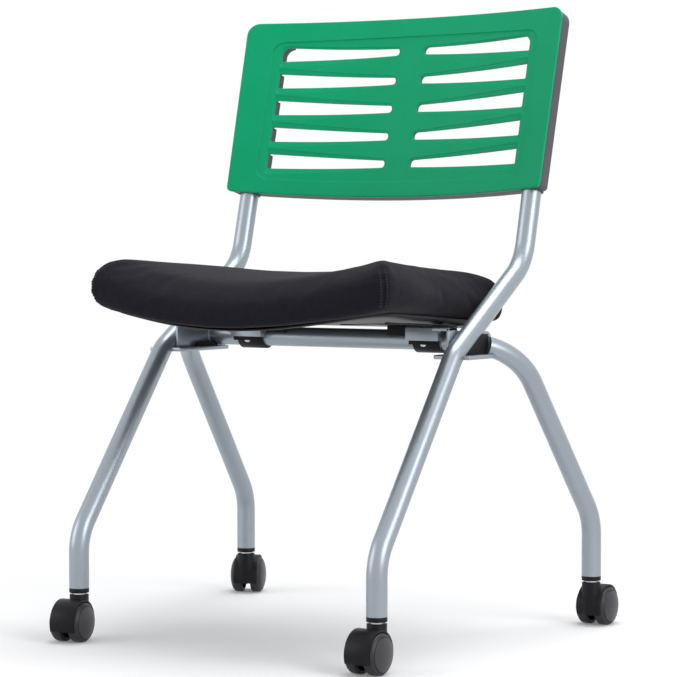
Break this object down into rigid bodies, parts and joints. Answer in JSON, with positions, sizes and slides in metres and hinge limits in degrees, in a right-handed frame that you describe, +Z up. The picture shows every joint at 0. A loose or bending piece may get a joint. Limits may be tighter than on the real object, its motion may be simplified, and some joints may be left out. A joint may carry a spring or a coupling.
{
  "type": "nesting chair",
  "caption": "Mobile nesting chair with a bent steel tube frame, swivel casters, a padded seat that flips up and a slotted plastic back.",
  "frame": {"origin": "on the floor, in the chair's middle plane, 224 mm behind the axis of the front casters' stems and 226 mm in front of the rear casters' stems", "axes": "+Z up from the floor, +Y from the front edge of the seat towards the back rest, +X towards the chair's side that is on the viewer's right when it is seen from the front"},
  "size_m": [0.612, 0.5477, 0.8111],
  "materials": {
    "frame_paint": "satin metallic silver-blue",
    "dark_plastic": "matte",
    "black_rubber": "matte",
    "zinc_steel": "bright zinc",
    "green_plastic": "semi-gloss",
    "grey_plastic": "matte",
    "seat_fabric": "woven",
    "disc_plastic": "satin",
    "tread": "satin"
  },
  "bodies": {
    "frame": {"side_tube_left": "frame_paint", "side_tube_right": "frame_paint", "rear_leg_left": "frame_paint", "rear_leg_right": "frame_paint", "crossbar": "frame_paint", "bracket_left": "frame_paint", "bracket_right": "frame_paint", "horn_pads": "black_rubber", "nest_glides": "black_rubber", "nest_bumpers": "black_rubber", "leg_sockets": "dark_plastic", "tube_caps": "dark_plastic", "back_shell": "green_plastic", "back_cover": "grey_plastic", "back_screws": "zinc_steel"},
    "seat": {"seat_pan": "dark_plastic", "seat_cushion": "seat_fabric", "hinge_saddle_left": "frame_paint", "hinge_saddle_right": "frame_paint", "hinge_cap_left": "dark_plastic", "hinge_cap_right": "dark_plastic", "hinge_screws": "zinc_steel", "pan_spacers": "black_rubber"},
    "caster_front_left": {"stem_front_left": "zinc_steel", "hood_front_left": "dark_plastic", "axle_front_left": "zinc_steel"},
    "wheel_front_left_a": {"wheel_front_left_a": "tread", "disc_front_left_a": "disc_plastic"},
    "wheel_front_left_b": {"wheel_front_left_b": "tread", "disc_front_left_b": "disc_plastic"},
    "caster_front_right": {"stem_front_right": "zinc_steel", "hood_front_right": "dark_plastic", "axle_front_right": "zinc_steel"},
    "wheel_front_right_a": {"wheel_front_right_a": "tread", "disc_front_right_a": "disc_plastic"},
    "wheel_front_right_b": {"wheel_front_right_b": "tread", "disc_front_right_b": "disc_plastic"},
    "caster_rear_left": {"stem_rear_left": "zinc_steel", "hood_rear_left": "dark_plastic", "axle_rear_left": "zinc_steel"},
    "wheel_rear_left_a": {"wheel_rear_left_a": "tread", "disc_rear_left_a": "disc_plastic"},
    "wheel_rear_left_b": {"wheel_rear_left_b": "tread", "disc_rear_left_b": "disc_plastic"},
    "caster_rear_right": {"stem_rear_right": "zinc_steel", "hood_rear_right": "dark_plastic", "axle_rear_right": "zinc_steel"},
    "wheel_rear_right_a": {"wheel_rear_right_a": "tread", "disc_rear_right_a": "disc_plastic"},
    "wheel_rear_right_b": {"wheel_rear_right_b": "tread", "disc_rear_right_b": "disc_plastic"}
  },
  "joints": [
    {"name": "seat_flip", "type": "hinge", "parent": "frame", "child": "seat", "pos_m": [0, 0.048, 0.379], "axis": [-1, 0, 0], "range_deg": [0, 75]},
    {"name": "swivel_front_left", "type": "hinge", "parent": "frame", "child": "caster_front_left", "pos_m": [-0.222, -0.224, 0.05], "axis": [0, 0, 1], "continuous": true},
    {"name": "roll_front_left_a", "type": "hinge", "parent": "caster_front_left", "child": "wheel_front_left_a", "pos_m": [-0.21918, -0.24178, 0.025], "axis": [-0.9877, -0.1564, 0], "continuous": true},
    {"name": "roll_front_left_b", "type": "hinge", "parent": "caster_front_left", "child": "wheel_front_left_b", "pos_m": [-0.21918, -0.24178, 0.025], "axis": [-0.9877, -0.1564, 0], "continuous": true},
    {"name": "swivel_front_right", "type": "hinge", "parent": "frame", "child": "caster_front_right", "pos_m": [0.222, -0.224, 0.05], "axis": [0, 0, 1], "continuous": true},
    {"name": "roll_front_right_a", "type": "hinge", "parent": "caster_front_right", "child": "wheel_front_right_a", "pos_m": [0.222, -0.242, 0.025], "axis": [-1, 0, 0], "continuous": true},
    {"name": "roll_front_right_b", "type": "hinge", "parent": "caster_front_right", "child": "wheel_front_right_b", "pos_m": [0.222, -0.242, 0.025], "axis": [-1, 0, 0], "continuous": true},
    {"name": "swivel_rear_left", "type": "hinge", "parent": "frame", "child": "caster_rear_left", "pos_m": [-0.276, 0.226, 0.05], "axis": [0, 0, 1], "continuous": true},
    {"name": "roll_rear_left_a", "type": "hinge", "parent": "caster_rear_left", "child": "wheel_rear_left_a", "pos_m": [-0.28332, 0.24244, 0.025], "axis": [0.9135, 0.4067, 0], "continuous": true},
    {"name": "roll_rear_left_b", "type": "hinge", "parent": "caster_rear_left", "child": "wheel_rear_left_b", "pos_m": [-0.28332, 0.24244, 0.025], "axis": [0.9135, 0.4067, 0], "continuous": true},
    {"name": "swivel_rear_right", "type": "hinge", "parent": "frame", "child": "caster_rear_right", "pos_m": [0.276, 0.226, 0.05], "axis": [0, 0, 1], "continuous": true},
    {"name": "roll_rear_right_a", "type": "hinge", "parent": "caster_rear_right", "child": "wheel_rear_right_a", "pos_m": [0.276, 0.244, 0.025], "axis": [1, 0, 0], "continuous": true},
    {"name": "roll_rear_right_b", "type": "hinge", "parent": "caster_rear_right", "child": "wheel_rear_right_b", "pos_m": [0.276, 0.244, 0.025], "axis": [1, 0, 0], "continuous": true}
  ]
}
